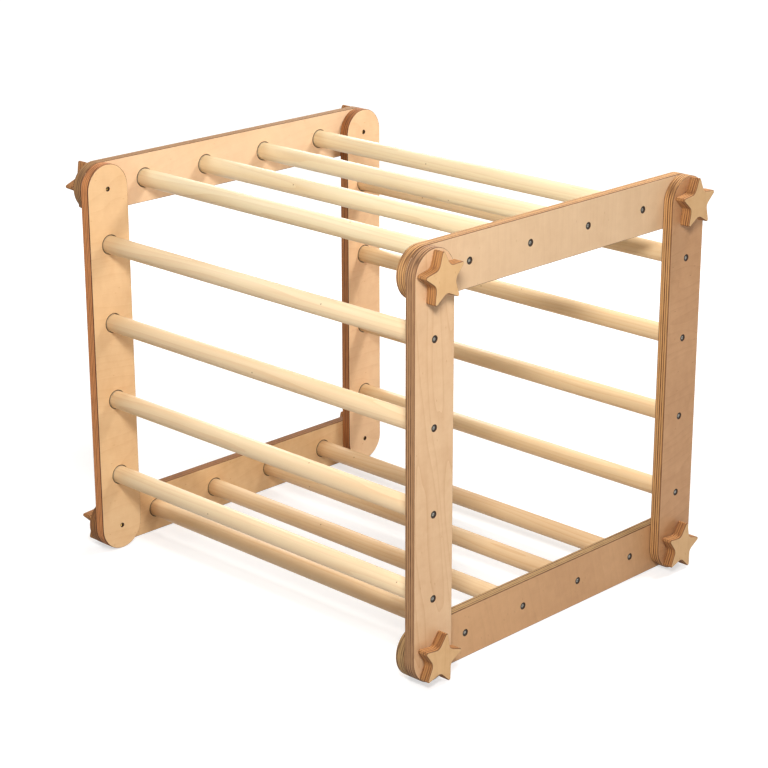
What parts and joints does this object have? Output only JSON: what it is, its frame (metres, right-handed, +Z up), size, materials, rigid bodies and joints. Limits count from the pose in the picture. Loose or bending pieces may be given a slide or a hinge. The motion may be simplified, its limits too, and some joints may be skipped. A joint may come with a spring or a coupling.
{
  "type": "climbing cube",
  "caption": "Cube-shaped toddler climbing frame of round-ended plywood ladders with round rungs, pinned at the corners by star-shaped knobs so that it can lean and fold.",
  "frame": {"origin": "on the floor under the middle of the cube, with the stars counted", "axes": "+X along the rungs, to the right as seen from the front; +Y from the front ladder to the back one; +Z up"},
  "size_m": [0.7792, 0.65, 0.65],
  "materials": {
    "birch_plywood": "oiled satin",
    "star_plywood": "oiled satin",
    "rung_wood": "sanded, waxed",
    "zinc_screw": "zinc plated",
    "zinc_stud": "zinc plated",
    "zinc_washer": "zinc plated",
    "brass_insert": "machined"
  },
  "bodies": {
    "bottom_ladder": {"bottom_board_left": "birch_plywood", "bottom_board_right": "birch_plywood", "bottom_rung_1": "rung_wood", "bottom_rung_2": "rung_wood", "bottom_rung_3": "rung_wood", "bottom_rung_4": "rung_wood", "bottom_ladder_screws": "zinc_screw", "bottom_ladder_inserts": "brass_insert"},
    "top_ladder": {"top_board_left": "birch_plywood", "top_board_right": "birch_plywood", "top_rung_1": "rung_wood", "top_rung_2": "rung_wood", "top_rung_3": "rung_wood", "top_rung_4": "rung_wood", "top_ladder_screws": "zinc_screw", "top_ladder_inserts": "brass_insert"},
    "front_ladder": {"front_post_left": "birch_plywood", "front_post_right": "birch_plywood", "front_rung_1": "rung_wood", "front_rung_2": "rung_wood", "front_rung_3": "rung_wood", "front_rung_4": "rung_wood", "front_ladder_screws": "zinc_screw", "front_ladder_inserts": "brass_insert"},
    "back_ladder": {"back_post_left": "birch_plywood", "back_post_right": "birch_plywood", "back_rung_1": "rung_wood", "back_rung_2": "rung_wood", "back_rung_3": "rung_wood", "back_rung_4": "rung_wood", "back_ladder_screws": "zinc_screw", "back_ladder_inserts": "brass_insert"},
    "washer_front_bottom_left": {"washer_front_bottom_left": "zinc_washer"},
    "knob_front_bottom_left": {"star_front_bottom_left": "star_plywood", "stud_front_bottom_left": "zinc_stud"},
    "washer_front_bottom_right": {"washer_front_bottom_right": "zinc_washer"},
    "knob_front_bottom_right": {"star_front_bottom_right": "star_plywood", "stud_front_bottom_right": "zinc_stud"},
    "washer_front_top_left": {"washer_front_top_left": "zinc_washer"},
    "knob_front_top_left": {"star_front_top_left": "star_plywood", "stud_front_top_left": "zinc_stud"},
    "washer_front_top_right": {"washer_front_top_right": "zinc_washer"},
    "knob_front_top_right": {"star_front_top_right": "star_plywood", "stud_front_top_right": "zinc_stud"},
    "washer_back_bottom_left": {"washer_back_bottom_left": "zinc_washer"},
    "knob_back_bottom_left": {"star_back_bottom_left": "star_plywood", "stud_back_bottom_left": "zinc_stud"},
    "washer_back_bottom_right": {"washer_back_bottom_right": "zinc_washer"},
    "knob_back_bottom_right": {"star_back_bottom_right": "star_plywood", "stud_back_bottom_right": "zinc_stud"},
    "washer_back_top_left": {"washer_back_top_left": "zinc_washer"},
    "knob_back_top_left": {"star_back_top_left": "star_plywood", "stud_back_top_left": "zinc_stud"},
    "washer_back_top_right": {"washer_back_top_right": "zinc_washer"},
    "knob_back_top_right": {"star_back_top_right": "star_plywood", "stud_back_top_right": "zinc_stud"}
  },
  "joints": [
    {"name": "lean", "type": "hinge", "parent": "bottom_ladder", "child": "front_ladder", "pos_m": [0, -0.285, 0.04], "axis": [1, 0, 0], "range_deg": [-50, 50]},
    {"name": "back_lean", "type": "hinge", "parent": "bottom_ladder", "child": "back_ladder", "pos_m": [0, 0.285, 0.04], "axis": [1, 0, 0], "range_deg": [-50, 50]},
    {"name": "top_level", "type": "hinge", "parent": "front_ladder", "child": "top_ladder", "pos_m": [0, -0.285, 0.61], "axis": [1, 0, 0], "range_deg": [-50, 50]},
    {"name": "front_bottom_left_knob_travel", "type": "slide", "parent": "front_ladder", "child": "washer_front_bottom_left", "axis": [-1, 0, 0], "range_m": [0, 0.012]},
    {"name": "front_bottom_left_knob_turn", "type": "hinge", "parent": "washer_front_bottom_left", "child": "knob_front_bottom_left", "pos_m": [-0.36915, -0.285, 0.04], "axis": [-1, 0, 0], "range_deg": [0, 4320]},
    {"name": "front_bottom_right_knob_travel", "type": "slide", "parent": "bottom_ladder", "child": "washer_front_bottom_right", "axis": [1, 0, 0], "range_m": [0, 0.012]},
    {"name": "front_bottom_right_knob_turn", "type": "hinge", "parent": "washer_front_bottom_right", "child": "knob_front_bottom_right", "pos_m": [0.36915, -0.285, 0.04], "axis": [1, 0, 0], "range_deg": [0, 4320]},
    {"name": "front_top_left_knob_travel", "type": "slide", "parent": "front_ladder", "child": "washer_front_top_left", "axis": [-1, 0, 0], "range_m": [0, 0.012]},
    {"name": "front_top_left_knob_turn", "type": "hinge", "parent": "washer_front_top_left", "child": "knob_front_top_left", "pos_m": [-0.36915, -0.285, 0.61], "axis": [-1, 0, 0], "range_deg": [0, 4320]},
    {"name": "front_top_right_knob_travel", "type": "slide", "parent": "top_ladder", "child": "washer_front_top_right", "axis": [1, 0, 0], "range_m": [0, 0.012]},
    {"name": "front_top_right_knob_turn", "type": "hinge", "parent": "washer_front_top_right", "child": "knob_front_top_right", "pos_m": [0.36915, -0.285, 0.61], "axis": [1, 0, 0], "range_deg": [0, 4320]},
    {"name": "back_bottom_left_knob_travel", "type": "slide", "parent": "back_ladder", "child": "washer_back_bottom_left", "axis": [-1, 0, 0], "range_m": [0, 0.012]},
    {"name": "back_bottom_left_knob_turn", "type": "hinge", "parent": "washer_back_bottom_left", "child": "knob_back_bottom_left", "pos_m": [-0.36915, 0.285, 0.04], "axis": [-1, 0, 0], "range_deg": [0, 4320]},
    {"name": "back_bottom_right_knob_travel", "type": "slide", "parent": "bottom_ladder", "child": "washer_back_bottom_right", "axis": [1, 0, 0], "range_m": [0, 0.012]},
    {"name": "back_bottom_right_knob_turn", "type": "hinge", "parent": "washer_back_bottom_right", "child": "knob_back_bottom_right", "pos_m": [0.36915, 0.285, 0.04], "axis": [1, 0, 0], "range_deg": [0, 4320]},
    {"name": "back_top_left_knob_travel", "type": "slide", "parent": "back_ladder", "child": "washer_back_top_left", "axis": [-1, 0, 0], "range_m": [0, 0.012]},
    {"name": "back_top_left_knob_turn", "type": "hinge", "parent": "washer_back_top_left", "child": "knob_back_top_left", "pos_m": [-0.36915, 0.285, 0.61], "axis": [-1, 0, 0], "range_deg": [0, 4320]},
    {"name": "back_top_right_knob_travel", "type": "slide", "parent": "top_ladder", "child": "washer_back_top_right", "axis": [1, 0, 0], "range_m": [0, 0.012]},
    {"name": "back_top_right_knob_turn", "type": "hinge", "parent": "washer_back_top_right", "child": "knob_back_top_right", "pos_m": [0.36915, 0.285, 0.61], "axis": [1, 0, 0], "range_deg": [0, 4320]}
  ],
  "couplings": [
    {"joint": "back_lean", "follows": "lean", "ratio": 1},
    {"joint": "top_level", "follows": "lean", "ratio": -1},
    {"joint": "front_bottom_left_knob_travel", "follows": "front_bottom_left_knob_turn", "m_per_rad": 0.00015915},
    {"joint": "front_bottom_right_knob_travel", "follows": "front_bottom_right_knob_turn", "m_per_rad": 0.00015915},
    {"joint": "front_top_left_knob_travel", "follows": "front_top_left_knob_turn", "m_per_rad": 0.00015915},
    {"joint": "front_top_right_knob_travel", "follows": "front_top_right_knob_turn", "m_per_rad": 0.00015915},
    {"joint": "back_bottom_left_knob_travel", "follows": "back_bottom_left_knob_turn", "m_per_rad": 0.00015915},
    {"joint": "back_bottom_right_knob_travel", "follows": "back_bottom_right_knob_turn", "m_per_rad": 0.00015915},
    {"joint": "back_top_left_knob_travel", "follows": "back_top_left_knob_turn", "m_per_rad": 0.00015915},
    {"joint": "back_top_right_knob_travel", "follows": "back_top_right_knob_turn", "m_per_rad": 0.00015915}
  ]
}
